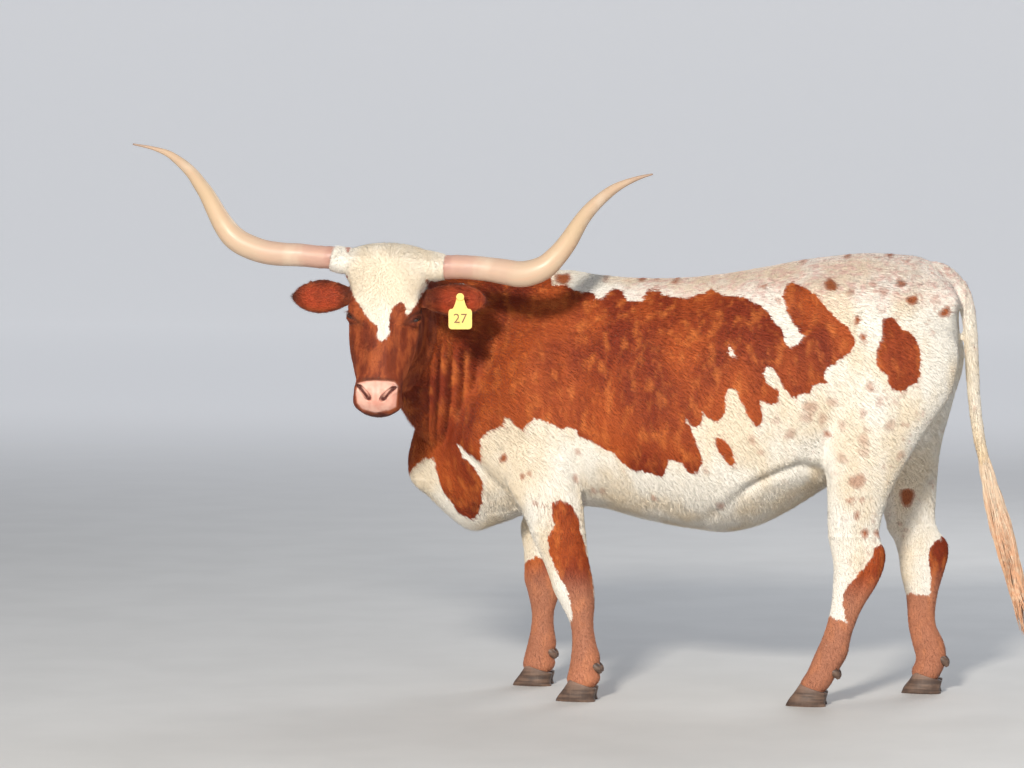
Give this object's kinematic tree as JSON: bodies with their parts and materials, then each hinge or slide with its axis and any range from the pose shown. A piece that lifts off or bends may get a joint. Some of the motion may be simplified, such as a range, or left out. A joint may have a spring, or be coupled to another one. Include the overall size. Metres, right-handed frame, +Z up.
{
  "type": "texas longhorn",
  "caption": "Standing longhorn cow with wide upswept horns, head turned to its left, patched red and white coat, an ear tag and a long tail with a switch.",
  "frame": {"origin": "centre of the whole animal's outline seen from above, horns and tail included, on the floor", "axes": "-X is the way the body faces, -Y is the animal's left side, to which the head is turned, and +Z is up"},
  "size_m": [2.7169, 0.8634, 1.6961],
  "materials": {
    "coat": "short hair, red patches on white",
    "horn": "smooth horn, pink at the root and pale towards the tip",
    "hoof": "satin, faintly ridged",
    "eye": "wet and dark",
    "udder": "bare pink skin",
    "switch": "coarse hair",
    "tag": "smooth"
  },
  "bodies": {
    "root": {"torso": "coat", "neck": "coat", "head": "coat", "ear_left": "coat", "ear_right": "coat", "eye_left": "eye", "eye_right": "eye", "horn_left": "horn", "horn_right": "horn", "udder": "udder", "tail": "coat", "tail_switch": "switch", "foreleg_left_upper": "coat", "foreleg_left_lower": "coat", "foreleg_left_claw_outer": "hoof", "foreleg_left_claw_inner": "hoof", "foreleg_left_dewclaw_outer": "hoof", "foreleg_left_dewclaw_inner": "hoof", "foreleg_right_upper": "coat", "foreleg_right_lower": "coat", "foreleg_right_claw_outer": "hoof", "foreleg_right_claw_inner": "hoof", "foreleg_right_dewclaw_outer": "hoof", "foreleg_right_dewclaw_inner": "hoof", "hindleg_left_upper": "coat", "hindleg_left_lower": "coat", "hindleg_left_claw_outer": "hoof", "hindleg_left_claw_inner": "hoof", "hindleg_left_dewclaw_outer": "hoof", "hindleg_left_dewclaw_inner": "hoof", "hindleg_right_upper": "coat", "hindleg_right_lower": "coat", "hindleg_right_claw_outer": "hoof", "hindleg_right_claw_inner": "hoof", "hindleg_right_dewclaw_outer": "hoof", "hindleg_right_dewclaw_inner": "hoof", "ear_tag": "tag", "ear_tag_stud": "tag"}
  },
  "joints": []
}
